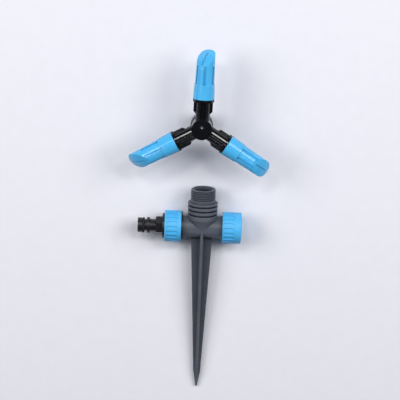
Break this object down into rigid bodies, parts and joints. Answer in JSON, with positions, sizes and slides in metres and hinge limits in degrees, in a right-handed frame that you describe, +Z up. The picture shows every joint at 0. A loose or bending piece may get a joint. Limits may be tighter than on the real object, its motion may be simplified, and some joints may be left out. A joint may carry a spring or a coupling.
{
  "type": "sprinkler",
  "caption": "Rotary lawn sprinkler head with ribbed arms and turning fluted nozzles, laid beside its finned ground spike with hose adaptor and end cap.",
  "frame": {"origin": "foot of the rotor's axis, where the lower end of the head's threaded stub stands on the surface", "axes": "+Z up along the rotor's axis, +Y away from the spike along the length of the layout, +X towards the end cap"},
  "size_m": [0.1488, 0.3736, 0.0547],
  "materials": {
    "grey_plastic": "satin moulded",
    "black_plastic": "gloss moulded",
    "blue_plastic": "satin gloss moulded",
    "rubber": "matt",
    "white_plastic": "smooth, slippery"
  },
  "bodies": {
    "spike": {"spike_body": "grey_plastic"},
    "inlet_seal": {"inlet_washer": "rubber"},
    "inlet": {"inlet_adaptor": "black_plastic", "inlet_grip_ring": "blue_plastic", "inlet_o_ring": "rubber"},
    "cap_seal": {"end_cap_washer": "rubber"},
    "cap": {"end_cap": "blue_plastic"},
    "head": {"head_base": "grey_plastic", "head_seal_washer": "rubber", "spindle": "white_plastic", "spindle_o_ring": "rubber", "lower_thrust_washer": "white_plastic"},
    "rotor": {"rotor_hub": "black_plastic", "hub_cap": "black_plastic", "upper_thrust_washer": "white_plastic", "arm_o_ring_1": "rubber", "arm_o_ring_2": "rubber", "arm_o_ring_3": "rubber"},
    "sleeve_1": {"nozzle_1": "blue_plastic"},
    "sleeve_2": {"nozzle_2": "blue_plastic"},
    "sleeve_3": {"nozzle_3": "blue_plastic"}
  },
  "joints": [
    {"name": "inlet_travel", "type": "slide", "parent": "spike", "child": "inlet_seal", "axis": [-0.9993, 0.0384, 0], "range_m": [0, 0.0146]},
    {"name": "inlet_turn", "type": "hinge", "parent": "inlet_seal", "child": "inlet", "pos_m": [0.0001, -0.11104, 0.0167], "axis": [-0.9993, 0.0384, 0], "range_deg": [0, 2880]},
    {"name": "cap_travel", "type": "slide", "parent": "spike", "child": "cap_seal", "axis": [0.9993, -0.0384, 0], "range_m": [0, 0.0146]},
    {"name": "cap_turn", "type": "hinge", "parent": "cap_seal", "child": "cap", "pos_m": [0.0001, -0.11104, 0.0167], "axis": [0.9993, -0.0384, 0], "range_deg": [0, 2880]},
    {"name": "head_lift", "type": "slide", "parent": "spike", "child": "head", "axis": [0, 0, 1], "range_m": [0, 0.08]},
    {"name": "rotor_spin", "type": "hinge", "parent": "head", "child": "rotor", "pos_m": [0, 0, 0.0278], "axis": [0, 0, 1], "continuous": true},
    {"name": "sleeve_1_turn", "type": "hinge", "parent": "rotor", "child": "sleeve_1", "pos_m": [0, 0, 0.0415], "axis": [0.0644, 0.9965, 0.0523], "continuous": true},
    {"name": "sleeve_2_turn", "type": "hinge", "parent": "rotor", "child": "sleeve_2", "pos_m": [0, 0, 0.0415], "axis": [-0.8953, -0.4425, 0.0523], "continuous": true},
    {"name": "sleeve_3_turn", "type": "hinge", "parent": "rotor", "child": "sleeve_3", "pos_m": [0, 0, 0.0415], "axis": [0.8308, -0.5541, 0.0523], "continuous": true}
  ],
  "couplings": [
    {"joint": "inlet_travel", "follows": "inlet_turn", "m_per_rad": 0.00028871},
    {"joint": "cap_travel", "follows": "cap_turn", "m_per_rad": 0.00028871}
  ]
}
